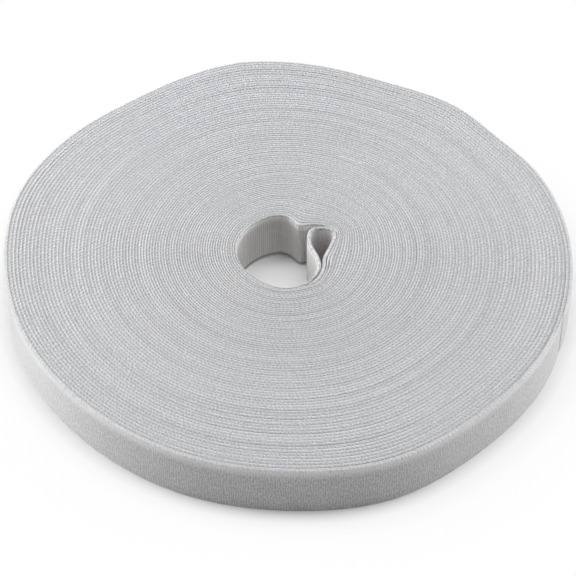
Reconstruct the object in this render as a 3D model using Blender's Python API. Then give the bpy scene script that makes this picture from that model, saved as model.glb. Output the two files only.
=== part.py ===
"""A roll of double-sided hook and loop tape, wound on itself with no core.

One strip of tape makes the whole roll. It starts at a free end inside the hole, lies on the hole's
wall, runs back round a loose teardrop fold, joins the hole's rim and is then wound outwards,
clockwise from above, turn on turn.
Each turn grips the next, so the turns are one solid, with a crease between them on both faces.
Two turns are fused in each ridge, and the tape is single in the fold and at its outer end.

Plan points are in metres, +X to the right and +Y away from the reader. The roll stands on z = 0.
"""

import math

import bmesh
import bpy
from mathutils import Matrix, Vector
from mathutils.geometry import interpolate_bezier

MM = 0.001

# The tape as it is made
TAPE_WIDTH = 20 * MM
TAPE_THICKNESS = 1.2 * MM

# The winding
TURNS = 76.83
HOLE_RADIUS = 16 * MM
START_ANGLE = math.radians(-76)
INNER_SQUEEZE = 0.705  # share of the tape's thickness that is left in the tight turns round the hole
TIGHT_RADIUS = 25 * MM  # up to here the turns are as tight as that
LOOSE_RADIUS = 85 * MM  # from here on they keep their full thickness

# How the turns are drawn
TURNS_PER_RIDGE = 2  # two turns are fused in each ridge
STEPS_PER_TURN = 36
CREASE_DEPTH = 0.35 * MM  # between ridges, on both faces
CREST_SHARE = 0.14  # how far across its ridge the crest lies, from the inner crease

# Lumps in the outline, each an angle in degrees, a height and a half-width in degrees. The outer
# ones fade towards the middle. The ones round the hole also have the distance over which they
# fade outwards.
OUTER_LUMPS = (
    (67, -3.6 * MM, 16),
    (37, -2.3 * MM, 10),
    (2, 0.9 * MM, 18),
    (334, 1.3 * MM, 16),
    (290, 2.1 * MM, 15),
    (225, -1.0 * MM, 22),
    (164, 1.9 * MM, 15),
    (127, -2.1 * MM, 13),
    (100, 1.3 * MM, 9),
)
LUMPY_RADIUS = 93.5 * MM  # where the outer lumps reach their full height
HOLE_LUMPS = (
    (69, -4.7 * MM, 17, 7 * MM),
    (28, 2.8 * MM, 13, 12 * MM),
    (-14, -3.0 * MM, 22, 7 * MM),
    (-57, 1.4 * MM, 13, 12 * MM),
    (-93, 1.1 * MM, 25, 7 * MM),
    (170, 0.5 * MM, 35, 7 * MM),
)

# The teardrop fold of the inner end. Its right strand lies on the hole's wall.
FREE_END_ANGLE = math.radians(-50)
NECK_ANGLE = math.radians(-31)
SHOULDER_ANGLE = math.radians(20)
FOLD_WIDTH = 8.3 * MM  # between the middles of its two strands, at the shoulders
FOLD_RISE = 4.6 * MM  # from its shoulders to the middle of the tape at its top
WALL_GAP = 0.35 * MM  # from the right strand to the hole's wall
NECK_GAP = 0.3 * MM  # between the two strands, at the neck
NECK_TILT = math.radians(2)  # of the left strand there, towards the middle of the hole
RIM_TILT = math.radians(7)  # between the tape and the hole's wall where they meet
FOLD_STEPS = 8  # faces along each of the fold's curves
WALL_STEPS = 13  # faces along the strand that lies on the wall
TOP_REACH = 0.5  # length of a Bezier handle at the top of the fold, as a share of the chord
STRAND_REACH = 0.39  # the same along the left strand
NECK_REACH = 0.25  # the same as it leaves the neck
RIM_REACH = 0.31  # the same as it comes up to the rim

TAPE_COLOUR = (0.62, 0.63, 0.65, 1)
TAPE_ROUGHNESS = 0.9


def smooth_step(share):
    """A smooth rise from 0 to 1 as share goes from 0 to 1."""
    share = min(1, max(0, share))
    return share * share * (3 - 2 * share)


def at_angle(angle, radius):
    return Vector((radius * math.cos(angle), radius * math.sin(angle)))


def bell(angle, centre, half_width):
    """1 where the angle is at the centre, falling smoothly to 0 on both sides, in degrees."""
    apart = (math.degrees(angle) - centre + 180) % 360 - 180
    return math.exp(-((apart / half_width) ** 2))


def lumpy_radius(angle, radius):
    """A round turn's radius with the roll's lumps added."""
    outer_share = (radius / LUMPY_RADIUS) ** 4
    lumps = 0
    for centre, height, half_width in OUTER_LUMPS:
        lumps += outer_share * height * bell(angle, centre, half_width)
    for centre, height, half_width, fade in HOLE_LUMPS:
        hole_share = math.exp(-(radius - HOLE_RADIUS) / fade)
        lumps += hole_share * height * bell(angle, centre, half_width)
    return radius + lumps


def turn_pitch(radius):
    """Radial room that one turn takes up at this radius."""
    looseness = smooth_step((radius - TIGHT_RADIUS) / (LOOSE_RADIUS - TIGHT_RADIUS))
    return TAPE_THICKNESS * (INNER_SQUEEZE + (1 - INNER_SQUEEZE) * looseness)


def wound_steps():
    """Steps along the drawn winding, which ends at the angle where the real one ends."""
    part_turn = TURNS % 1
    ridges = round((TURNS + 1) / TURNS_PER_RIDGE - part_turn) + part_turn
    return round(ridges * STEPS_PER_TURN)


def winding_line():
    """The tape's inner side through every turn, and then once round the outside of the last turn.

    It has two points to a step. The point one turn further on is always the outer side at the same
    angle. The first turn and the last are one tape thick, and those between are fused.
    """
    steps = wound_steps()
    fused = (TURNS - 1) / (steps / STEPS_PER_TURN - 1)
    points = []
    radius = HOLE_RADIUS
    for half_step in range(2 * (steps + STEPS_PER_TURN) + 1):
        angle = START_ANGLE - math.pi * half_step / STEPS_PER_TURN
        points.append(at_angle(angle, lumpy_radius(angle, radius)))
        single = half_step < 2 * STEPS_PER_TURN or half_step >= 2 * steps
        radius += turn_pitch(radius) * (1 if single else fused) / (2 * STEPS_PER_TURN)
    return points


def hole_wall(angle, inset):
    """A point that lies inset from the hole's wall, which is the first turn's inner side."""
    wound = (START_ANGLE - angle) % math.tau / math.tau
    radius = HOLE_RADIUS + wound * turn_pitch(HOLE_RADIUS)
    return at_angle(angle, lumpy_radius(angle, radius) - inset)


def strand_on_wall():
    """The middle of the tape from its free end up the hole's wall to the right shoulder."""
    inset = TAPE_THICKNESS / 2 + WALL_GAP
    swing = SHOULDER_ANGLE - FREE_END_ANGLE
    angles = [FREE_END_ANGLE + swing * step / WALL_STEPS for step in range(WALL_STEPS + 1)]
    return [hole_wall(angle, inset) for angle in angles]


def fold_curves(strand, rim, rim_heading):
    """The fold's Bezier curves, from the right shoulder to the hole's rim.

    Each is a start and an end, and each of those is a point, a heading and a reach.
    """
    down = Vector((0, -1))
    left = Vector((-1, 0))
    right_shoulder = strand[-1]
    wall_heading = (strand[-1] - strand[-2]).normalized()
    left_shoulder = right_shoulder + left * FOLD_WIDTH
    top = (right_shoulder + left_shoulder) / 2 - down * FOLD_RISE
    neck = hole_wall(NECK_ANGLE, TAPE_THICKNESS / 2 + WALL_GAP) + left * (TAPE_THICKNESS + NECK_GAP)
    neck_heading = Vector((-math.sin(NECK_TILT), -math.cos(NECK_TILT)))
    return [
        ((right_shoulder, wall_heading, TOP_REACH), (top, left, TOP_REACH)),
        ((top, left, TOP_REACH), (left_shoulder, down, TOP_REACH)),
        ((left_shoulder, down, STRAND_REACH), (neck, neck_heading, STRAND_REACH)),
        ((neck, neck_heading, NECK_REACH), (rim, rim_heading, RIM_REACH)),
    ]


def fold_line(rim, rim_heading):
    """Points along the middle of the folded tape, without the last, which is the rim itself."""
    points = strand_on_wall()
    curves = fold_curves(points, rim, rim_heading)
    points.pop()
    for (start, heading, reach), (end, end_heading, end_reach) in curves:
        chord = (end - start).length
        handle = start + heading * (reach * chord)
        end_handle = end - end_heading * (end_reach * chord)
        points += interpolate_bezier(start, handle, end_handle, end, FOLD_STEPS + 1)[:-1]
    return [point.to_2d() for point in points]


def side_points(line, rim):
    """The two sides of the folded tape, which is squeezed as it comes up to the rim."""
    squeezed = turn_pitch(HOLE_RADIUS)
    inner, outer = [], []
    for index, point in enumerate(line):
        looseness = smooth_step((len(line) - index) / FOLD_STEPS)
        half_tape = (squeezed + (TAPE_THICKNESS - squeezed) * looseness) / 2
        before = line[max(index - 1, 0)]
        after = line[index + 1] if index + 1 < len(line) else rim
        along = (after - before).normalized()
        across = Vector((-along.y, along.x)) * half_tape
        inner.append(point - across)
        outer.append(point + across)
    return inner, outer


def lay_out_plan(bm):
    """Makes the tape's plan view as flat faces on z = 0, and returns the crease vertices."""
    fine_line = winding_line()
    line = fine_line[::2]
    middles = fine_line[1::2]
    turn = STEPS_PER_TURN
    steps = wound_steps()

    def vertex(point):
        return bm.verts.new((point.x, point.y, 0))

    edges = [vertex(point) for point in line]
    crests = [
        vertex(line[step].lerp(line[step + turn], CREST_SHARE)) for step in range(steps + 1)
    ]

    def edge_run(step):
        """The edge vertices along one step, with one more in its middle where the side is free."""
        free = step < turn or step >= steps
        return [edges[step]] + [vertex(middles[step])] * free + [edges[step + 1]]

    for step in range(steps):
        crest_run = [crests[step], crests[step + 1]]
        bm.faces.new(edge_run(step) + crest_run[::-1])
        bm.faces.new(crest_run + edge_run(step + turn)[::-1])

    rim = (line[0] + line[turn]) / 2
    wall_heading = (line[turn] - line[turn - 1]).normalized()
    rim_heading = Matrix.Rotation(RIM_TILT, 2) @ wall_heading
    inner, outer = side_points(fold_line(rim, rim_heading), rim)
    inner = [vertex(point) for point in inner]
    outer = [vertex(point) for point in outer]
    for step in range(len(inner) - 1):
        after = step + 1
        bm.faces.new((inner[step], inner[after], outer[after], outer[step]))
    bm.faces.new((inner[-1], edges[0], crests[0], edges[turn], outer[-1]))
    return edges[turn + 1 : steps]


def raise_tape(bm, creases):
    """Extrudes the plan to the tape's width and sinks the creases on both faces."""
    crease_places = {(vert.co.x, vert.co.y) for vert in creases}
    raised = bmesh.ops.extrude_face_region(bm, geom=list(bm.faces), use_keep_orig=True)["geom"]
    top = [item for item in raised if isinstance(item, bmesh.types.BMVert)]
    bmesh.ops.translate(bm, verts=top, vec=(0, 0, TAPE_WIDTH))
    for vert in bm.verts:
        if (vert.co.x, vert.co.y) in crease_places:
            vert.co.z += CREASE_DEPTH if vert.co.z == 0 else -CREASE_DEPTH
    bmesh.ops.recalc_face_normals(bm, faces=bm.faces)


def centre_plan(bm):
    """Moves the roll so that its box is centred over the origin."""
    xs = [vert.co.x for vert in bm.verts]
    ys = [vert.co.y for vert in bm.verts]
    middle = Vector((min(xs) + max(xs), min(ys) + max(ys), 0)) / 2
    bmesh.ops.translate(bm, verts=bm.verts, vec=-middle)


def tape_material():
    material = bpy.data.materials.new("light_grey_tape")
    material.use_nodes = True
    surface = material.node_tree.nodes["Principled BSDF"]
    surface.inputs["Base Color"].default_value = TAPE_COLOUR
    surface.inputs["Roughness"].default_value = TAPE_ROUGHNESS
    return material


def make_tape_roll():
    bm = bmesh.new()
    creases = lay_out_plan(bm)
    raise_tape(bm, creases)
    centre_plan(bm)
    mesh = bpy.data.meshes.new("tape_roll")
    bm.to_mesh(mesh)
    bm.free()
    mesh.shade_smooth()
    mesh.set_sharp_from_angle(angle=math.radians(30))
    mesh.materials.append(tape_material())
    roll = bpy.data.objects.new("tape_roll", mesh)
    bpy.context.scene.collection.objects.link(roll)


for leftover in list(bpy.data.objects):
    bpy.data.objects.remove(leftover)
make_tape_roll()
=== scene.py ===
# %% [markdown]
# # A roll of hook and loop cable tie tape
#
# The object is one strip of double-sided tape, about 25 m long, wound on itself with no core. Its
# inner side carries moulded hooks and its outer side a brushed pile of loops, so each turn grips
# the next. The inner end is folded back on itself in a teardrop inside the hole. Cable ties are cut
# from it to length.
#
# This lesson lays a flat strip, winds it up turn by turn along the same plan as the solid, and then
# gives its edges, its loop side, its hook side and its cut ends a finish each.

# %% Load the frame
import math

import bmesh
import bpy
from mathutils import Matrix, Vector, noise
from mathutils.geometry import interpolate_bezier


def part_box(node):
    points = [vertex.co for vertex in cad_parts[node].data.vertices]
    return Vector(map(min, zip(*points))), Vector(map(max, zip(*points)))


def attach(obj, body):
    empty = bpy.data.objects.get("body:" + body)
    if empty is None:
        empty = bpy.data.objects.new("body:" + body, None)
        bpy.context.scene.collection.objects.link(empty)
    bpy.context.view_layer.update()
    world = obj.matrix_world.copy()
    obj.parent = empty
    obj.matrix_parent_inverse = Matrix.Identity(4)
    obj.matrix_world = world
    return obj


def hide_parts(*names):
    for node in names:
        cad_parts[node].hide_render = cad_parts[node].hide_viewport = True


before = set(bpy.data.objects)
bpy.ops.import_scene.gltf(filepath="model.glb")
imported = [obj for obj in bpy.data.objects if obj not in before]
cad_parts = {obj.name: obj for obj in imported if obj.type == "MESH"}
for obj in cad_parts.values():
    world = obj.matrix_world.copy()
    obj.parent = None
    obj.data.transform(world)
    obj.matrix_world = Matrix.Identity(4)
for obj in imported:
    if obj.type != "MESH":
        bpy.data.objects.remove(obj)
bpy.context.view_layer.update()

MM = 0.001
solid_low, solid_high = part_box("tape_roll")
print("The solid is", [round(size / MM, 1) for size in solid_high - solid_low], "mm")

# %% [markdown]
# ## The tape's own sizes
#
# Everything follows from the tape: its width is the roll's height, and its thickness sets how fast
# the winding grows. Near the hole the turns are pulled tight, so the pile is pressed thinner there.

# %% The tape and the winding
TAPE_WIDTH = solid_high.z
TAPE_THICKNESS = 1.2 * MM
TURNS = 76.836
HOLE_RADIUS = 16 * MM
START_ANGLE = math.radians(-76)
INNER_SQUEEZE = 0.705  # share of the tape's thickness left in the tight turns round the hole
TIGHT_RADIUS = 25 * MM
LOOSE_RADIUS = 85 * MM
STEPS_PER_TURN = 104
TURN_GAP = 0.04 * MM  # between a turn and the next


def smooth_step(share):
    """A smooth rise from 0 to 1 as share goes from 0 to 1."""
    share = min(1, max(0, share))
    return share * share * (3 - 2 * share)


def turn_pitch(radius):
    """Radial room that one turn takes up at this radius."""
    looseness = smooth_step((radius - TIGHT_RADIUS) / (LOOSE_RADIUS - TIGHT_RADIUS))
    return TAPE_THICKNESS * (INNER_SQUEEZE + (1 - INNER_SQUEEZE) * looseness)


print("Turns are", round(turn_pitch(HOLE_RADIUS) / MM, 2), "mm apart at the hole")

# %% [markdown]
# ## An uneven outline
#
# A roll wound by hand isn't a true circle. A few smooth bells, each an angle, a height and a
# half-width, push the outline in and out. The outer ones fade towards the middle. Those round the
# hole fade outwards over a distance of their own, so each turn there bends a little less than the
# one inside it, and the tape of the first few lies loose where they spread apart.

# %% Lumps in the roll
OUTER_LUMPS = (
    (67, -3.6 * MM, 16),
    (37, -2.3 * MM, 10),
    (2, 0.9 * MM, 18),
    (334, 1.3 * MM, 16),
    (290, 2.1 * MM, 15),
    (225, -1.0 * MM, 22),
    (164, 1.9 * MM, 15),
    (127, -2.1 * MM, 13),
    (100, 1.3 * MM, 9),
)  # each an angle in degrees, a height and a half-width in degrees
LUMPY_RADIUS = 93.5 * MM  # where the outer lumps have their full height
OUTER_FADE = 4  # power of the radius with which they fade inwards
HOLE_LUMPS = (
    (69, -4.7 * MM, 17, 7 * MM),
    (28, 2.4 * MM, 13, 12 * MM),
    (-14, -3.0 * MM, 22, 7 * MM),
    (-57, 0.9 * MM, 13, 12 * MM),
    (-93, 1.1 * MM, 25, 7 * MM),
    (170, 0.5 * MM, 35, 7 * MM),
)  # the same, each with the distance over which it fades outwards


def at_angle(angle, radius):
    return Vector((radius * math.cos(angle), radius * math.sin(angle)))


def bell(angle, centre, half_width):
    """1 where the angle is at the centre, falling smoothly to 0 on both sides, in degrees."""
    apart = (math.degrees(angle) - centre + 180) % 360 - 180
    return math.exp(-((apart / half_width) ** 2))


def lumpy_radius(angle, radius):
    """A round turn's radius with the roll's lumps added."""
    outer_share = (radius / LUMPY_RADIUS) ** OUTER_FADE
    lumps = 0
    for centre, height, half_width in OUTER_LUMPS:
        lumps += outer_share * height * bell(angle, centre, half_width)
    for centre, height, half_width, fade in HOLE_LUMPS:
        hole_share = math.exp(-(radius - HOLE_RADIUS) / fade)
        lumps += hole_share * height * bell(angle, centre, half_width)
    return radius + lumps


# %% [markdown]
# ## The winding
#
# The plan view of the tape is a spiral. Its inner side is worked out step by step, and the next
# turn's inner side lies one turn further on. The tape fills the room between them, less a hair's
# gap, unless the room is more than its thickness. That way two turns can never cross, whatever the
# lumps do. In a few places the tape is pressed thinner than its room, which leaves a dark line of
# air beside it, and towards its outer end it thins out against the roll.

# %% Wind the plan
FREE_LENGTH = 12 * MM  # of tape gets thinner towards the outer end
THIN_SHARE = 0.09  # of its thickness is left at the end, which is pressed on the roll
LOOSE_PLACES = (
    (0.872, 0.028, 0.35 * MM),
    (30.79, 0.08, 0.13 * MM),
    (47.6, 0.06, 0.1 * MM),
    (56.04, 0.11, 0.13 * MM),
    (64.04, 0.12, 0.15 * MM),
    (68.04, 0.09, 0.1 * MM),
    (72.35, 0.07, 0.1 * MM),
)  # where the tape lies looser: turns from the start, half the length in turns, and the air


def winding_sides():
    """Inner and outer side of the tape at every step of the winding."""
    steps = round(TURNS * STEPS_PER_TURN)
    line = []
    radius = HOLE_RADIUS
    for step in range(steps + STEPS_PER_TURN + 1):
        angle = START_ANGLE - math.tau * step / STEPS_PER_TURN
        line.append(at_angle(angle, lumpy_radius(angle, radius)))
        radius += turn_pitch(radius) / STEPS_PER_TURN
    step_length = (line[steps] - line[steps - 1]).length
    inner, outer = [], []
    for step in range(steps + 1):
        room = line[step + STEPS_PER_TURN] - line[step]
        across = room.normalized()
        to_end = (steps - step) * step_length
        near_end = max(0, 1 - to_end / FREE_LENGTH) ** 2
        thickness = min(room.length - TURN_GAP, TAPE_THICKNESS)
        for turn, half_length, air in LOOSE_PLACES:
            thickness -= air * math.exp(-(((step / STEPS_PER_TURN - turn) / half_length) ** 2))
        thickness *= 1 - (1 - THIN_SHARE) * near_end
        inner.append(line[step] + across * (TURN_GAP / 2))
        outer.append(inner[-1] + across * thickness)
    return inner, outer


wound_inner, wound_outer = winding_sides()
print("The winding has", len(wound_inner), "stations")

# %% [markdown]
# ## The teardrop fold
#
# From its free end the tape lies on the hole's wall, up to the fold's right shoulder. Four Bezier
# curves then take it over the top, down past its own free end and up to the rim. Its pile stands
# free here, so it looks thicker than in the winding.

# %% Fold the inner end
FREE_THICKNESS = 1.3 * MM
PRESSED_THICKNESS = 0.5 * MM  # at the free end, which the tape beside it presses on the wall
PRESSED_ANGLE = math.radians(-54)  # where the tape starts to be pressed
FREE_END_ANGLE = math.radians(-65)
NECK_ANGLE = math.radians(-31)
SHOULDER_ANGLE = math.radians(20)
FOLD_WIDTH = 8.6 * MM  # between the middles of its two strands, at the shoulders
FOLD_RISE = 4.5 * MM  # from its shoulders to the middle of the tape at its top
WALL_GAP = 0.2 * MM  # from the right strand to the hole's wall
NECK_GAP = 0.15 * MM  # between the two strands, at the neck
NECK_TILT = math.radians(2)
RIM_TILT = math.radians(7)
FOLD_STEPS = 16  # faces along each of the fold's curves
WALL_STEPS = 30  # faces along the strand that lies on the wall
TOP_REACH = 0.5  # length of a Bezier handle at the top of the fold, as a share of the chord
STRAND_REACH = 0.39  # the same along the left strand
NECK_REACH = 0.25  # the same as it leaves the neck
RIM_REACH = 0.31  # the same as it comes up to the rim


def hole_wall(angle, inset):
    """A point that lies inset from the hole's wall, which is the first turn's inner side."""
    wound = (START_ANGLE - angle) % math.tau / math.tau
    radius = HOLE_RADIUS + wound * turn_pitch(HOLE_RADIUS)
    return at_angle(angle, lumpy_radius(angle, radius) - inset)


def strand_angles():
    swing = SHOULDER_ANGLE - FREE_END_ANGLE
    return [FREE_END_ANGLE + swing * step / WALL_STEPS for step in range(WALL_STEPS + 1)]


def strand_thickness(angle):
    """The tape's thickness where it lies on the wall."""
    pressed = smooth_step((PRESSED_ANGLE - angle) / (PRESSED_ANGLE - FREE_END_ANGLE))
    return FREE_THICKNESS + (PRESSED_THICKNESS - FREE_THICKNESS) * pressed


def strand_on_wall():
    """The middle of the tape from its free end up the hole's wall to the right shoulder."""
    return [hole_wall(angle, strand_thickness(angle) / 2 + WALL_GAP) for angle in strand_angles()]


def fold_curves(strand, rim, rim_heading):
    """The fold's Bezier curves, from the right shoulder to the hole's rim.

    Each is a start and an end, and each of those is a point, a heading and a reach.
    """
    down = Vector((0, -1))
    left = Vector((-1, 0))
    right_shoulder = strand[-1]
    wall_heading = (strand[-1] - strand[-2]).normalized()
    left_shoulder = right_shoulder + left * FOLD_WIDTH
    top = (right_shoulder + left_shoulder) / 2 - down * FOLD_RISE
    on_wall = hole_wall(NECK_ANGLE, FREE_THICKNESS / 2 + WALL_GAP)
    neck = on_wall + left * (FREE_THICKNESS + NECK_GAP)
    neck_heading = Vector((-math.sin(NECK_TILT), -math.cos(NECK_TILT)))
    return [
        ((right_shoulder, wall_heading, TOP_REACH), (top, left, TOP_REACH)),
        ((top, left, TOP_REACH), (left_shoulder, down, TOP_REACH)),
        ((left_shoulder, down, STRAND_REACH), (neck, neck_heading, STRAND_REACH)),
        ((neck, neck_heading, NECK_REACH), (rim, rim_heading, RIM_REACH)),
    ]


def fold_line(rim, rim_heading):
    """Points along the middle of the folded tape, without the last, which is the rim itself."""
    points = strand_on_wall()
    curves = fold_curves(points, rim, rim_heading)
    points.pop()
    for (start, heading, reach), (end, end_heading, end_reach) in curves:
        chord = (end - start).length
        handle = start + heading * (reach * chord)
        end_handle = end - end_heading * (end_reach * chord)
        points += interpolate_bezier(start, handle, end_handle, end, FOLD_STEPS + 1)[:-1]
    return [point.to_2d() for point in points]


def fold_sides():
    """Inner and outer side of the folded tape, squeezed as it comes up to the rim."""
    rim = (wound_inner[0] + wound_outer[0]) / 2
    wall_heading = (wound_inner[STEPS_PER_TURN] - wound_inner[STEPS_PER_TURN - 1]).normalized()
    line = fold_line(rim, Matrix.Rotation(RIM_TILT, 2) @ wall_heading)
    squeezed = (wound_outer[0] - wound_inner[0]).length
    thicknesses = [strand_thickness(angle) for angle in strand_angles()]
    for index in range(len(thicknesses), len(line)):
        looseness = smooth_step((len(line) - index) / FOLD_STEPS)
        thicknesses.append(squeezed + (FREE_THICKNESS - squeezed) * looseness)
    inner, outer = [], []
    for index, point in enumerate(line):
        before = line[max(index - 1, 0)]
        after = line[index + 1] if index + 1 < len(line) else rim
        along = (after - before).normalized()
        across = Vector((-along.y, along.x)) * thicknesses[index] / 2
        inner.append(point - across)
        outer.append(point + across)
    return inner, outer


fold_inner, fold_outer = fold_sides()
inner_side = fold_inner + wound_inner
outer_side = fold_outer + wound_outer

# %% [markdown]
# ## Where the plan lies
#
# The solid is centred on its own box, so the plan is moved by the same rule.

# %% Centre the plan
plan_points = inner_side + outer_side
xs = [point.x for point in plan_points]
ys = [point.y for point in plan_points]
roll_centre = -Vector((min(xs) + max(xs), min(ys) + max(ys))) / 2
print("The winding's own centre lies at", [round(value / MM, 2) for value in roll_centre], "mm")

# %% [markdown]
# ## From a flat strip to a wound one
#
# A real roll starts as a flat strip, and so does this one: `create_grid` makes the strip's surface,
# with a column of faces for each step round its section, and every vertex is then carried to its
# place in the winding. The section has an oval top and bottom, because the edge of a tape is
# softer than its middle. Where nothing lies against a side, in the fold, round the hole and on the
# last turn, its pile spreads and the corner turns over, which makes the roll's soft rims. A UV map
# keeps the flat strip: u is the distance along the tape in metres, and v counts the four sides of
# the section, so a pattern can follow the tape wherever it turns.

# %% The section of the tape
EDGE_STEPS = 5  # faces over the top edge, and over the bottom one
EDGE_DROP = 0.08 * MM  # how far an edge falls from its middle to its corners
WANDER = 0.2 * MM  # how far a turn may stand above or below its neighbours
WANDER_LENGTH = 140 * MM
WANDER_ROW = 0.5  # picks a row of the noise
ROUND_SHARE = 0.5  # of the tape's thickness is rounded where a side of it lies bare
ROUND_DROP = 0.9 * MM  # how far the corner of a bare side falls at the top
FOOT_RISE = 0.7 * MM  # and how far it rises at the foot
COVER_STEPS = 6  # stations over which a side goes from covered to bare


def edge_section():
    """Across an edge from the inner side to the outer: shares of the thickness, and drops."""
    angles = [math.pi * step / EDGE_STEPS for step in range(EDGE_STEPS + 1)]
    return [((1 - math.cos(angle)) / 2, EDGE_DROP * (1 - math.sin(angle))) for angle in angles]


def tape_section():
    """Points round the section: share across, side (1 top, 0 bottom), drop and v of the UV map.

    The last is the first again, with the v at which the map ends.
    """
    edge = edge_section()
    top = [(share, 1, drop, share) for share, drop in edge]
    bottom = [(share, 0, drop, 3 - share) for share, drop in reversed(edge)]
    return top + bottom + [(*top[0][:3], 4)]


def along_tape():
    """Distance along the tape at each station."""
    distances = [0]
    for index in range(1, len(inner_side)):
        before = inner_side[index - 1] + outer_side[index - 1]
        after = inner_side[index] + outer_side[index]
        distances.append(distances[-1] + (after - before).length / 2)
    return distances


section = tape_section()
distances = along_tape()
first_turn = len(fold_inner)
second_turn = first_turn + STEPS_PER_TURN
last_turn = len(inner_side) - STEPS_PER_TURN
fold_length = distances[first_turn]
print("The tape is", round(distances[-1], 2), "m long")
print("Of it,", round(fold_length / MM), "mm is folded")

# %% Make the strip and wind it up
LOOP_COLUMN = EDGE_STEPS
HOOK_COLUMN = 2 * EDGE_STEPS + 1
EDGE_FINISH, LOOP_FINISH, HOOK_FINISH, END_FINISH = range(4)


def bare_rounding(station, share):
    """How far a bare side's corner has turned over at this share of the thickness, from 0 to 1."""
    in_fold = smooth_step((first_turn - station) / COVER_STEPS)
    outside = max(in_fold, smooth_step((station - last_turn) / COVER_STEPS))
    inside = smooth_step((second_turn - station) / COVER_STEPS)
    turned = 0
    for bare, reach in ((inside, 1 - share), (outside, share)):
        past = max(0, (reach - 1 + ROUND_SHARE) / ROUND_SHARE)
        turned += bare * (1 - math.sqrt(max(0, 1 - past**2)))
    return turned


def station_point(station, column):
    """Where the strip's vertex at this station and column lies in the roll."""
    share, side, drop, _ = section[column]
    across = inner_side[station].lerp(outer_side[station], share) + roll_centre
    turned = bare_rounding(station, share)
    place = Vector((distances[station] / WANDER_LENGTH, WANDER_ROW, WANDER_ROW))
    sink = WANDER * (1 - noise.noise(place)) / 2
    top = TAPE_WIDTH - drop - sink - ROUND_DROP * turned
    height = top if side else drop + FOOT_RISE * turned
    return Vector((across.x, across.y, height))


def finish_of_column(column):
    """Which of the materials a face has whose lower column is this one."""
    return {LOOP_COLUMN: LOOP_FINISH, HOOK_COLUMN: HOOK_FINISH}.get(column, EDGE_FINISH)


def wind_tape():
    """Makes the flat strip, winds it up, and closes its seam and its ends."""
    stations = len(inner_side)
    columns = len(section) - 1
    bm = bmesh.new()
    bmesh.ops.create_grid(bm, x_segments=stations - 1, y_segments=columns, size=0.5)
    uv_map = bm.loops.layers.uv.new("tape")
    places = {}
    for vert in bm.verts:
        station = round((vert.co.x + 0.5) * (stations - 1))
        column = round((vert.co.y + 0.5) * columns)
        places[vert] = station, column
    for face in bm.faces:
        face.material_index = finish_of_column(min(places[vert][1] for vert in face.verts))
        for loop in face.loops:
            station, column = places[loop.vert]
            loop[uv_map].uv = distances[station], section[column][3]
    for vert, place in places.items():
        vert.co = station_point(*place)
    seam = [vert for vert, (_, column) in places.items() if column in (0, columns)]
    bmesh.ops.remove_doubles(bm, verts=seam, dist=0.001 * MM)
    rims = [edge for edge in bm.edges if edge.is_boundary]
    caps = bmesh.ops.holes_fill(bm, edges=rims, sides=0)["faces"]
    for face in caps:
        face.material_index = END_FINISH
        for edge in face.edges:
            edge.smooth = False
    bmesh.ops.recalc_face_normals(bm, faces=bm.faces)
    return bm


tape_bm = wind_tape()
tape_mesh = bpy.data.meshes.new("wound_tape")
tape_bm.to_mesh(tape_mesh)
tape_bm.free()
for polygon in tape_mesh.polygons:
    polygon.use_smooth = len(polygon.vertices) == 4  # the cut ends, with more corners, stay flat
wound_tape = bpy.data.objects.new("wound_tape", tape_mesh)
bpy.context.scene.collection.objects.link(wound_tape)
weighted = wound_tape.modifiers.new("flat sides shade flat", "WEIGHTED_NORMAL")
weighted.keep_sharp = True
weighted.weight = 100  # large faces win over the narrow ones of the edges
print("The tape has", sum(len(polygon.vertices) - 2 for polygon in tape_mesh.polygons), "triangles")

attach(wound_tape, "root")
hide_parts("tape_roll")

# %% [markdown]
# ## Shader sums in Python
#
# Node trees read badly as long lists of links. A small class wraps a socket, so that a pattern can
# be written as a sum: each operator adds one Math node.


# %% A wrapper for sockets
class Wire:
    """A node's output. Where it carries a number, arithmetic on it adds Math nodes."""

    def __init__(self, finish, socket):
        self.finish = finish
        self.socket = socket

    def math(self, operation, *others):
        sockets = dict(enumerate((self, *others)))
        return self.finish.node("ShaderNodeMath", {"operation": operation}, sockets)

    def __add__(self, other):
        return self.math("ADD", other)

    def __mul__(self, other):
        return self.math("MULTIPLY", other)

    def __sub__(self, other):
        return self.math("SUBTRACT", other)

    def __truediv__(self, other):
        return self.math("DIVIDE", other)

    def __rsub__(self, other):
        return self.finish.node("ShaderNodeMath", {"operation": "SUBTRACT"}, {0: other, 1: self})

    __radd__ = __add__
    __rmul__ = __mul__


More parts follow.
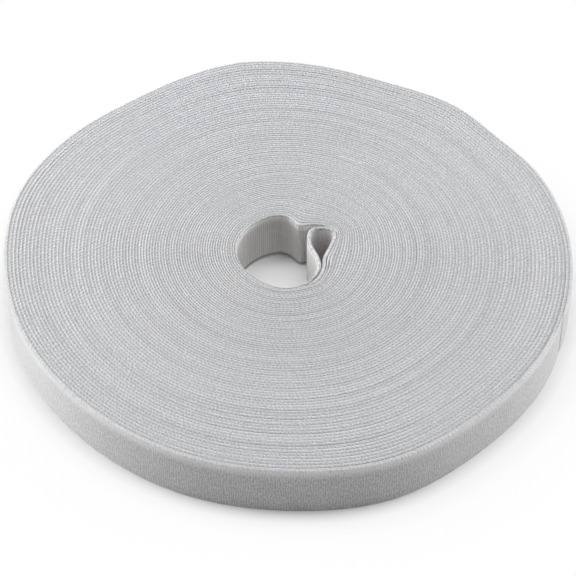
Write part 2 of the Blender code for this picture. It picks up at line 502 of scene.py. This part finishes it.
class Finish:
    """The node tree of a material or a world, built one call at a time."""

    def __init__(self, owner):
        owner.use_nodes = True
        self.owner = owner
        self.tree = owner.node_tree
        self.tree.nodes.clear()

    def node(self, kind, settings=None, sockets=None, output=0):
        """Adds a node, sets it up, and returns one of its outputs as a wire."""
        node = self.tree.nodes.new(kind)
        for name, value in (settings or {}).items():
            setattr(node, name, value)
        for name, value in (sockets or {}).items():
            if isinstance(value, Wire):
                self.tree.links.new(value.socket, node.inputs[name])
            else:
                node.inputs[name].default_value = value
        return Wire(self, node.outputs[output]) if node.outputs else None

    def mix(self, share, first, second):
        """A colour that goes from first to second as share goes from 0 to 1."""
        sockets = {"Factor": share, 6: first, 7: second}
        return self.node("ShaderNodeMix", {"data_type": "RGBA"}, sockets, output=2)

    def step_up(self, value, start, end):
        """A smooth rise from 0 at start to 1 at end, which may lie below start."""
        sockets = {"Value": value, "From Min": start, "From Max": end}
        return self.node("ShaderNodeMapRange", {"interpolation_type": "SMOOTHSTEP"}, sockets)

    def band(self, value, foot, top, far_top, far_foot):
        """A smooth rise from 0 at foot to 1 at top, and a fall from far_top to 0 at far_foot."""
        return self.step_up(value, foot, top) * self.step_up(value, far_foot, far_top)

    def noise(self, place, detail=2.0, scale=1.0):
        """Smooth random values about 0.5, one bump to each unit of place."""
        sockets = {"Vector": place, "Scale": scale, "Detail": detail}
        return self.node("ShaderNodeTexNoise", sockets=sockets)

    def speckle(self, x, y=0.0, detail=2.0):
        """The same on the flat tape, one bump to each unit of x and y."""
        place = self.node("ShaderNodeCombineXYZ", sockets={"X": x, "Y": y})
        return self.noise(place, detail)

    def tape_map(self):
        """Distance along the tape in metres, and v of its UV map."""
        place = self.node("ShaderNodeUVMap", {"uv_map": "tape"})
        along = self.node("ShaderNodeSeparateXYZ", sockets={"Vector": place}, output="X")
        around = self.node("ShaderNodeSeparateXYZ", sockets={"Vector": place}, output="Y")
        return along, around

    def surface(self, colour, height, depth, roughness=0.9, sheen=0.0):
        """Ends a material: a rough surface with a colour and a bump of that depth in metres."""
        bump = self.node("ShaderNodeBump", sockets={"Height": height, "Distance": depth})
        sockets = {
            "Base Color": colour,
            "Roughness": roughness,
            "Normal": bump,
            "Sheen Weight": sheen,
        }
        shader = self.node("ShaderNodeBsdfPrincipled", sockets=sockets)
        self.node("ShaderNodeOutputMaterial", sockets={"Surface": shader})
        return self.owner


# %% [markdown]
# ## The tape's edge
#
# Seen from above, each turn shows its edge: a smooth woven selvedge towards the hole and, beside
# it, the ends of the loop rows as a line of small dark stitches. Between two turns lies a gap, which
# on the flanks and round the hole is painted dark as painted shade. The pattern reads u for the
# stitches and v for the place across the edge. Slow noise along u makes one turn a little lighter
# than the next, because a whole turn lies between them.

# %% Colours and sizes of the edges
TAPE_GREY = (0.585, 0.59, 0.61, 1)
SELVEDGE_GREY = (0.67, 0.675, 0.67, 1)
STITCH_GREY = (0.27, 0.275, 0.29, 1)
DEEP_GREY = (0.17, 0.172, 0.18, 1)
BEAD_WHITE = (0.83, 0.83, 0.83, 1)
RIM_WHITE = (0.88, 0.88, 0.875, 1)
THREAD_WHITE = (0.97, 0.97, 0.96, 1)

STITCH_LENGTH = 1.35 * MM
WANDER_OF_STITCHES = 5 * MM  # the length over which they come closer or further apart
STRENGTH_LENGTH = 40 * MM  # over which the stitches get deeper or fainter
STRENGTH_ROW = 5.0  # picks a row of the noise
SLOW_LENGTH = 260 * MM  # over which the tape gets lighter or darker
FIBRE_LENGTH = 0.22 * MM
PATCH_LENGTH = 0.6 * MM  # of a few fibres that lie together
EDGE_BUMP = 0.13 * MM

# Each band is a foot, a top, a far top and a far foot: shares of the tape's thickness, from its
# inner side to its outer side.
SELVEDGE_BAND = (0.04, 0.16, 0.35, 0.55)
STITCH_BAND = (0.42, 0.66, 0.94, 1.04)
TAPE_BAND = (0.0, 0.14, 0.84, 1.0)  # beyond which the edge falls into the gap between turns, which gets painted shade

STITCH_DEPTH = 0.22  # how far the faintest stitches go to their own grey
STRENGTH_DEPTH = 0.2  # how much further the strongest do
SIDE_LIT_DEPTH = 0.5  # and how much further on the side-lit flanks, as painted shade
GAP_SHADE_DEPTH = 0.6  # how far the painted shade in the gap goes to the stitches' grey, on the side-lit flanks

# %% [markdown]
# The edge isn't the same all over. On the two flanks of the roll, where the side lamps fall, light
# and shade are painted on: the stitches are painted deeper, the gaps darker, and the selvedge shows
# as painted pale beads between them. In the tight turns round the hole the selvedge is paler too,
# and the stitches run together with the gap to a dark line, partly painted shade; both are stronger
# on the flanks, where they are painted light and shade.

# %% Where the flanks are painted as side-lit, and where the turns are tight
SIDE_LIT_SHARE = 0.6  # how strongly the flanks are painted as side-lit, on average
SIDE_LIT_LEAN = 0.16  # how much more on the left, and less on the right
TIGHT_LENGTH = 16.0  # metres of tape from its inner end, over which the turns get less tight
TIGHTEST_SHARE = 0.12  # of them are as tight as can be
TIGHT_EVERYWHERE = 0.3  # how tight these are in front and behind
TIGHT_SIDEWAYS = 0.8  # and how much more on the side-lit flanks, as painted light and shade
TIGHT_BEADS = 0.9  # how pale the selvedge gets where they are tight
TIGHT_DEPTH = 0.3  # how dark the stitches' side and the gap get there, partly painted shade, and as much again on a stitch


def side_lit_share(finish):
    """Where the side lamps fall, for painted light and shade: most on the roll's left, less on its right,
    not in front or behind.
    """
    place = finish.node("ShaderNodeTexCoord", output="Object")
    x = finish.node("ShaderNodeSeparateXYZ", sockets={"Vector": place}, output="X")
    y = finish.node("ShaderNodeSeparateXYZ", sockets={"Vector": place}, output="Y")
    cosine = x / (x * x + y * y).math("SQRT")
    return cosine * cosine * (SIDE_LIT_SHARE - cosine * SIDE_LIT_LEAN)


def tightness(finish, along, side_lit):
    """How far the rows run together, in turns that are pulled tight, and more on the side-lit flanks, for
    painted light and shade.
    """
    near_hole = finish.step_up(along, TIGHT_LENGTH, TIGHT_LENGTH * TIGHTEST_SHARE)
    return near_hole * (side_lit * TIGHT_SIDEWAYS + TIGHT_EVERYWHERE)


def stitch_dots(finish, along, share, fibre, patch):
    """1 on each stitch and 0 between them, along a row that isn't quite even."""
    wobble = finish.speckle(along / WANDER_OF_STITCHES)
    phase = along / STITCH_LENGTH + wobble * 2.6 + share * 0.5
    wave = (phase * math.tau).math("SINE") * 0.5 + 0.5
    return finish.step_up(wave + fibre * 0.8 + patch * 0.8, 1.0, 1.7)


# %% The woven rows
def woven_rows(finish, along, share, fibre, patch, slow):
    """The colour of the selvedge, the stitches and the gaps, with painted light and shade on the flanks,
    and the height for their bump.
    """
    side_lit = side_lit_share(finish)
    tight = tightness(finish, along, side_lit)
    dots = stitch_dots(finish, along, share, fibre, patch)
    stitches = finish.band(share, *STITCH_BAND) * dots
    selvedge = finish.band(share, *SELVEDGE_BAND)
    gap = 1 - finish.band(share, *TAPE_BAND)
    dark_row = (gap + finish.step_up(share, 0.5, 0.75)).math("MINIMUM", 1.0)
    # Painted highlight: pale beads on the selvedge of the side-lit flanks, and a paler selvedge round the
    # hole, more so on the flanks.
    bead_highlights_and_pale_selvedge = (selvedge * (1 - dots) * side_lit).math("MAXIMUM", tight * selvedge * TIGHT_BEADS)
    strength = finish.step_up(finish.speckle(along / STRENGTH_LENGTH, STRENGTH_ROW), 0.25, 0.65)
    # Painted shade: on the side-lit flanks the stitches go deeper to their grey.
    depth = strength * STRENGTH_DEPTH + side_lit * SIDE_LIT_DEPTH + STITCH_DEPTH
    colour = finish.mix(selvedge * (slow * 2.0 - 0.5), TAPE_GREY, SELVEDGE_GREY)
    colour = finish.mix(bead_highlights_and_pale_selvedge, colour, BEAD_WHITE)
    colour = finish.mix(stitches * depth, colour, STITCH_GREY)
    # Painted shade in the gap between turns, on the side-lit flanks.
    colour = finish.mix(gap * dots * side_lit * GAP_SHADE_DEPTH, colour, STITCH_GREY)
    # The dark line round the hole, where the stitches and the gap run together: partly painted shade,
    # more on the flanks.
    colour = finish.mix(dark_row * tight * (dots * TIGHT_DEPTH + TIGHT_DEPTH), colour, DEEP_GREY)
    return colour, selvedge * 0.3 - stitches * 0.8 + fibre * 0.7 + patch


# %% [markdown]
# Dark grain lies over the rows, because the weave isn't clean. Where a side of the tape lies bare,
# its pile covers the rounded corner: pale, with small holes. On the last turn the pale pile carries
# a painted highlight as well, full in front and behind and faint on the flanks. The pile is tufted
# in the fold and for a short way past it, where the tape has been handled most. One loose bright
# thread lies on the roll, about half way out.

# %% Grain, bare pile with a painted rim highlight, and a loose thread
GRAIN_DEPTH = 0.62  # how far the darkest grain goes to the stitches' grey
SLOW_DEPTH = 1.1  # how strongly the tape gets lighter and darker along its length
COVER_LENGTH = 3 * MM  # over which a side goes from bare to covered, in the fold and in the hole
UNCOVER_LENGTH = 8 * MM  # over which it goes bare again, where the last turn starts
HOLE_PILE = 0.7  # how pale the bare corners are on the hole's rim
FOLD_PILE = 0.45  # and in the fold
FLANK_HIGHLIGHT_LOSS = 0.9  # how much less painted highlight the last turn's corner gets on the side-lit flanks
PILE_HOLES = 0.5  # how far the small holes go through the bare pile
TUFT_LENGTH = 1.1 * MM
TUFT_DEPTH = 0.55
TUFTED_LENGTH = 120 * MM  # of tape past the fold, over which the tufts fade
THREAD_TURN = 36.615  # where the loose thread lies
THREAD_LENGTH = 8 * MM
THREAD_BAND = (0.15, 0.3, 0.65, 0.8)  # across the edge
THREAD_COVER = 0.4  # how far it hides what lies under it


def bare_pile_and_rim_highlight(finish, along, share):
    """How pale the rounded corner is of a side that nothing lies against, and 0 elsewhere; on the last
    turn with a painted highlight.
    """
    fold = finish.step_up(along, fold_length, fold_length - COVER_LENGTH)
    first = finish.step_up(along, distances[second_turn], distances[second_turn] - COVER_LENGTH)
    # The last turn's outer corner: pale pile with a painted highlight, fainter on the side-lit flanks.
    last = finish.step_up(along, distances[last_turn], distances[last_turn] + UNCOVER_LENGTH)
    last = last * (1 - side_lit_share(finish) * FLANK_HIGHLIGHT_LOSS)
    outer_corner = (last + fold * FOLD_PILE) * finish.step_up(share, 0.4, 0.65)
    inner_corner = first * (HOLE_PILE - fold * (HOLE_PILE - FOLD_PILE)) * finish.step_up(share, 0.6, 0.35)
    return outer_corner.math("MAXIMUM", inner_corner)


def worn_pile(finish, colour, along, share, fibre, patch, slow):
    """Lays the grain, the bare pile and its tufts over the colour of the rows."""
    grain = finish.step_up(fibre * 0.5 + patch * 0.5, 0.6, 0.36)
    colour = finish.mix(grain * GRAIN_DEPTH + (slow - 0.5) * SLOW_DEPTH, colour, STITCH_GREY)
    holes = finish.step_up(patch * 0.6 + fibre * 0.4, 0.46, 0.6)
    pile = bare_pile_and_rim_highlight(finish, along, share) * (1 - holes * PILE_HOLES)
    colour = finish.mix(pile, colour, RIM_WHITE)
    tufts = finish.step_up(finish.speckle(along / TUFT_LENGTH, share * 2.5, 1.0), 0.45, 0.62)
    tufted = finish.step_up(along, fold_length + TUFTED_LENGTH, fold_length)
    return finish.mix(tufts * tufted * TUFT_DEPTH, colour, STITCH_GREY)


def loose_thread(finish, colour, along, share):
    """Lays the thread over the colour."""
    middle = distances[first_turn + round(THREAD_TURN * STEPS_PER_TURN)]
    from_middle = (along - middle).math("ABSOLUTE")
    thread = finish.step_up(from_middle, THREAD_LENGTH * 0.55, THREAD_LENGTH * 0.45)
    thread = thread * finish.band(share, *THREAD_BAND)
    return finish.mix(thread * THREAD_COVER, colour, THREAD_WHITE)


# %% Finish of the edges
def edge_finish():
    finish = Finish(bpy.data.materials.new("tape_edge"))
    along, around = finish.tape_map()
    share = around.math("MINIMUM", 3 - around)  # v runs from 0 to 1 on top and from 2 to 3 below
    fibre = finish.speckle(along / FIBRE_LENGTH, share * 3)
    patch = finish.speckle(along / PATCH_LENGTH, share * 1.5)
    slow = finish.speckle(along / SLOW_LENGTH, detail=3.0)
    colour, height = woven_rows(finish, along, share, fibre, patch, slow)
    colour = worn_pile(finish, colour, along, share, fibre, patch, slow)
    colour = loose_thread(finish, colour, along, share)
    return finish.surface(colour, height, EDGE_BUMP, sheen=0.1)


# %% [markdown]
# ## The loop side
#
# The outside of the last turn is brushed pile. Seen close it has fine upright ribs, broken up by
# the fuzz. Towards its upper rim, in front and behind, the wall is lightened with a painted
# highlight, and loose loops together with a painted highlight make the rim itself a thin bright
# line. On the side-lit flanks both are fainter, and so is the mottle. In the fold the pile is fresh,
# a little paler and warmer.

# %% Finish of the loop side
LOOP_LIGHT = (0.73, 0.718, 0.722, 1)
LOOP_DARK = (0.37, 0.358, 0.365, 1)
LOOP_WARM = (0.92, 0.84, 0.81, 1)
RIB_PITCH = 0.77 * MM
RIB_WANDER = (3 * MM, 5 * MM)  # each of these sizes is a length along the tape and one across it
STREAK_SIZE = (0.6 * MM, 1.4 * MM)
FUZZ_SIZE = (0.5 * MM, 0.5 * MM)
CLOUD_SIZE = (9 * MM, 7 * MM)
RIM_HIGHLIGHT_FOOT = 15.5 * MM  # the height from which the wall gets more and more painted highlight, in front and behind
RIM_HIGHLIGHT_TOP = 20.5 * MM
RIM_LINE_FOOT = 19 * MM  # the height from which loose loops and a painted highlight make a bright line
RIM_LINE_TOP = 19.8 * MM
FLANK_CALM = 0.6  # how much fainter the mottle and the rim line are on the side-lit flanks
CLOUD_DEPTH = 0.25
FOLD_WARMTH = 0.26
FOLD_FULL_SHARE = 0.8  # of the fold, from its free end, has the fold's own shade in full
LOOP_BUMP = 0.2 * MM


def folded(finish, along):
    """1 in the fold, falling to 0 as the tape comes up to the hole's rim."""
    return finish.step_up(along, fold_length, fold_length * FOLD_FULL_SHARE)


def loop_finish():
    finish = Finish(bpy.data.materials.new("loop_side"))
    along, around = finish.tape_map()
    up = (2 - around) * TAPE_WIDTH
    side_lit = side_lit_share(finish)
    wobble = finish.speckle(along / RIB_WANDER[0], up / RIB_WANDER[1], 1.0)
    ribs = ((along / RIB_PITCH + wobble * 2) * math.tau).math("SINE") * 0.5 + 0.5
    streaks = finish.speckle(along / STREAK_SIZE[0], up / STREAK_SIZE[1])
    fuzz = finish.speckle(along / FUZZ_SIZE[0], up / FUZZ_SIZE[1])
    cloud = finish.speckle(along / CLOUD_SIZE[0], up / CLOUD_SIZE[1], 1.0)
    pile = ribs * 0.12 + streaks * 0.48 + fuzz * 0.4
    dark = finish.step_up(pile, 0.66, 0.34)
    # The mottle is made fainter on the side-lit flanks.
    mottle = dark + (0.5 - dark) * side_lit * FLANK_CALM
    colour = finish.mix(mottle + (cloud - 0.5) * CLOUD_DEPTH, LOOP_LIGHT, LOOP_DARK)
    colour = finish.mix(folded(finish, along) * FOLD_WARMTH, colour, LOOP_WARM)
    # Painted highlight on the wall's upper part, left off on the side-lit flanks.
    rim_highlight = finish.step_up(up, RIM_HIGHLIGHT_FOOT, RIM_HIGHLIGHT_TOP)
    rim_highlight = rim_highlight * (1.1 - dark * 0.4) * (1 - side_lit)
    # The bright line at the rim: loose loops, partly painted highlight, fainter on the side-lit flanks.
    loops = finish.step_up(up, RIM_LINE_FOOT, RIM_LINE_TOP) * finish.step_up(fuzz, 0.4, 0.6)
    loops = loops * (1 - side_lit * FLANK_CALM)
    colour = finish.mix(rim_highlight.math("MAXIMUM", loops), colour, RIM_WHITE)
    return finish.surface(colour, pile, LOOP_BUMP, roughness=0.95, sheen=0.5)


# %% [markdown]
# ## The hook side
#
# The inside of the first turn lines the hole. Its hooks are moulded in straight rows, so from a
# step away it looks like a fine, even lattice. Its upper rim and the fold are lightened with a
# painted highlight, and its foot, where it meets the floor, is darkened with a painted shadow.

# %% Finish of the hook side
HOOK_LIGHT = (0.74, 0.735, 0.725, 1)
HOOK_DARK = (0.50, 0.49, 0.48, 1)
HOOK_HIGHLIGHT_WHITE = (0.93, 0.925, 0.92, 1)
FOOT_SHADOW_GREY = (0.16, 0.155, 0.15, 1)
HOOK_PITCH = 0.8 * MM  # along the tape
HOOK_ROW_PITCH = 1.25 * MM  # across it
LATTICE_DEPTH = 0.65  # how far the tape between the hooks goes to the dark colour
HOOK_STREAK_SIZE = (1.6 * MM, 30 * MM)
STREAK_DEPTH = 0.15
LIT_RIM_FOOT = 16.5 * MM
LIT_RIM_TOP = 20.5 * MM
FOLD_HIGHLIGHT = 0.25
FOOT_SHADOW_HEIGHT = 1.8 * MM
FOOT_SHADOW_DEPTH = 0.9
HOOK_BUMP = 0.2 * MM


def hook_finish():
    finish = Finish(bpy.data.materials.new("hook_side"))
    along, around = finish.tape_map()
    up = (around - 3) * TAPE_WIDTH
    columns = (along * (math.tau / HOOK_PITCH)).math("SINE") * 0.5 + 0.5
    rows = (up * (math.tau / HOOK_ROW_PITCH)).math("SINE") * 0.5 + 0.5
    streaks = finish.speckle(along / HOOK_STREAK_SIZE[0], up / HOOK_STREAK_SIZE[1])
    hooks = columns * rows
    dark = (1 - hooks) * LATTICE_DEPTH + finish.step_up(streaks, 0.62, 0.36) * STREAK_DEPTH
    # Painted highlight at the upper rim and on the fold.
    lit_rim = finish.step_up(up, LIT_RIM_FOOT, LIT_RIM_TOP)
    pale = lit_rim.math("MAXIMUM", folded(finish, along) * FOLD_HIGHLIGHT)
    colour = finish.mix(dark, HOOK_LIGHT, HOOK_DARK)
    colour = finish.mix(pale, colour, HOOK_HIGHLIGHT_WHITE)
    # Painted shadow at the foot, where the tape meets the floor.
    colour = finish.mix(finish.step_up(up, FOOT_SHADOW_HEIGHT, 0.0) * FOOT_SHADOW_DEPTH, colour, FOOT_SHADOW_GREY)
    return finish.surface(colour, hooks, HOOK_BUMP, roughness=0.7)


# %% [markdown]
# ## The cut ends
#
# Both ends are a plain scissor cut, where the layers of the tape show as a pale, slightly fuzzy
# face.

# %% Finish of the cut ends
END_THREADS = 2500.0  # to the metre
END_BUMP = 0.1 * MM


def end_finish():
    finish = Finish(bpy.data.materials.new("cut_end"))
    place = finish.node("ShaderNodeTexCoord", output="Object")
    threads = finish.noise(place, detail=3.0, scale=END_THREADS)
    colour = finish.mix(threads * 0.5, THREAD_WHITE, TAPE_GREY)
    return finish.surface(colour, threads, END_BUMP)


for material in (edge_finish(), loop_finish(), hook_finish(), end_finish()):
    tape_mesh.materials.append(material)
    print("Finish", material.name, "has", len(material.node_tree.nodes), "nodes")

# %% [markdown]
# ## Floor and backdrop
#
# The roll lies on white. The floor reflects like matt white card and, for the camera alone, glows
# as well: hardly in the hole, not at the roll's foot, where its shadow lies, and fully a few
# millimetres further out, where the photo's background is pure white. So the floor is a disc of
# rings, round in the hole and following the roll's outline round it, and each has its own glow.

# %% Floor
FLOOR_DEPTH = 0.1 * MM
FLOOR_WHITE = (0.82, 0.82, 0.825, 1)
HOLE_RINGS = (
    (3 * MM, 0.3),
    (10 * MM, 0.2),
    (14.5 * MM, 0.0),
    (22 * MM, 0.0),
)  # each a radius round the middle of the hole, and the share of glow in what the camera sees
FLOOR_RINGS = (
    (-3 * MM, 0.0),
    (0.5 * MM, 0.05),
    (2.5 * MM, 0.35),
    (5 * MM, 0.7),
    (12 * MM, 0.9),
    (30 * MM, 1.0),
    (6.0, 1.0),
)  # the same with distances outside the roll's outline


def seen_directly(finish):
    """1 for rays from the camera and for reflected or refracted ones, 0 for light's own rays."""
    path = "ShaderNodeLightPath"
    camera = finish.node(path, output="Is Camera Ray")
    glossy = finish.node(path, output="Is Glossy Ray")
    transmitted = finish.node(path, output="Is Transmission Ray")
    return camera.math("MAXIMUM", glossy).math("MAXIMUM", transmitted)


def floor_finish():
    finish = Finish(bpy.data.materials.new("white_card"))
    glow_share = finish.node("ShaderNodeAttribute", {"attribute_name": "glow"}, output="Fac")
    seen_share = glow_share * seen_directly(finish)
    card = finish.node("ShaderNodeBsdfDiffuse", sockets={"Color": FLOOR_WHITE})
    glow = finish.node("ShaderNodeEmission")
    both = finish.node("ShaderNodeMixShader", sockets={0: seen_share, 1: card, 2: glow})
    finish.node("ShaderNodeOutputMaterial", sockets={"Surface": both})
    return finish.owner


def floor_rings():
    """Each ring's points and its glow, from the middle of the hole outwards."""
    outline = [point + roll_centre for point in wound_outer[-STEPS_PER_TURN:]]
    rings = []
    for radius, share in HOLE_RINGS:
        rings.append(([roll_centre + point.normalized() * radius for point in outline], share))
    for distance, share in FLOOR_RINGS:
        rings.append(([point.normalized() * (point.length + distance) for point in outline], share))
    return rings


def make_floor():
    bm = bmesh.new()
    glow = bm.verts.layers.float.new("glow")
    rings = []
    for points, share in floor_rings():
        rings.append([bm.verts.new((point.x, point.y, -FLOOR_DEPTH)) for point in points])
        for vert in rings[-1]:
            vert[glow] = share
    for near, far in zip(rings, rings[1:]):
        for index in range(STEPS_PER_TURN):
            bm.faces.new((near[index - 1], near[index], far[index], far[index - 1]))
    bm.faces.new(rings[0])
    bmesh.ops.recalc_face_normals(bm, faces=bm.faces)
    mesh = bpy.data.meshes.new("floor")
    bm.to_mesh(mesh)
    bm.free()
    mesh.materials.append(floor_finish())
    floor = bpy.data.objects.new("floor", mesh)
    bpy.context.scene.collection.objects.link(floor)


make_floor()

# %% Backdrop
WORLD_LEVEL = 0.02  # of the white that the camera sees also lights the roll


def make_world():
    world = bpy.data.worlds.new("white_room")
    bpy.context.scene.world = world
    finish = Finish(world)
    strength = seen_directly(finish) * (1 - WORLD_LEVEL) + WORLD_LEVEL
    background = finish.node("ShaderNodeBackground", sockets={"Strength": strength})
    finish.node("ShaderNodeOutputWorld", sockets={"Surface": background})


make_world()

# %% [markdown]
# ## Light
#
# The photo's light comes from both sides and from above, and none from the camera's side, so the
# front of the roll is its darkest part. Low boxes brighten its flanks, and high ones reach into the
# hole.

# %% Soft boxes
AIM = Vector((0, 0, TAPE_WIDTH))
BOX_DISTANCE = 1.5
BOX_SIZE = 0.9


def soft_box(name, azimuth, elevation, power):
    """A square lamp that faces the roll. Azimuth 0 is towards +Y, and 90 towards +X."""
    lamp = bpy.data.lights.new(name, "AREA")
    lamp.shape = "SQUARE"
    lamp.size = BOX_SIZE
    lamp.energy = power
    obj = bpy.data.objects.new(name, lamp)
    turn = math.radians(azimuth)
    rise = math.radians(elevation)
    away = Vector((math.sin(turn) * math.cos(rise), math.cos(turn) * math.cos(rise), math.sin(rise)))
    obj.location = AIM + away * BOX_DISTANCE
    obj.rotation_euler = away.to_track_quat("Z", "Y").to_euler()
    bpy.context.scene.collection.objects.link(obj)


soft_box("left_low_box", azimuth=-67, elevation=20, power=21)
soft_box("left_high_box", azimuth=-90, elevation=53, power=9)
soft_box("right_low_box", azimuth=70, elevation=20, power=14)
soft_box("right_high_box", azimuth=90, elevation=70, power=11.5)

# %% [markdown]
# ## Camera
#
# The photo was taken with a long lens from about 46 degrees above the roll. The picture is cropped
# below its own middle, which is what the small shift does.

# %% Camera
PHOTO_SIZE = 576  # pixels
SENSOR = 36  # mm
FOCAL_PIXELS = 2334  # the lens's focal length
CAMERA_DISTANCE = 777 * MM  # from the middle of the top face
CAMERA_ELEVATION = math.radians(46.42)
MIDDLE_PIXEL = (286.6, 249.0)  # where the middle of the top face lies in the photo

camera_data = bpy.data.cameras.new("camera")
camera_data.sensor_width = SENSOR
camera_data.lens = FOCAL_PIXELS / PHOTO_SIZE * SENSOR
camera_data.shift_x = (PHOTO_SIZE / 2 - MIDDLE_PIXEL[0]) / PHOTO_SIZE
camera_data.shift_y = (MIDDLE_PIXEL[1] - PHOTO_SIZE / 2) / PHOTO_SIZE
camera = bpy.data.objects.new("camera", camera_data)
towards_camera = Vector((0, -math.cos(CAMERA_ELEVATION), math.sin(CAMERA_ELEVATION)))
top_middle = Vector((roll_centre.x, roll_centre.y, TAPE_WIDTH))
camera.location = top_middle + towards_camera * CAMERA_DISTANCE
camera.rotation_euler = towards_camera.to_track_quat("Z", "Y").to_euler()
bpy.context.scene.collection.objects.link(camera)
bpy.context.scene.camera = camera
bpy.context.scene.view_settings.view_transform = "Standard"
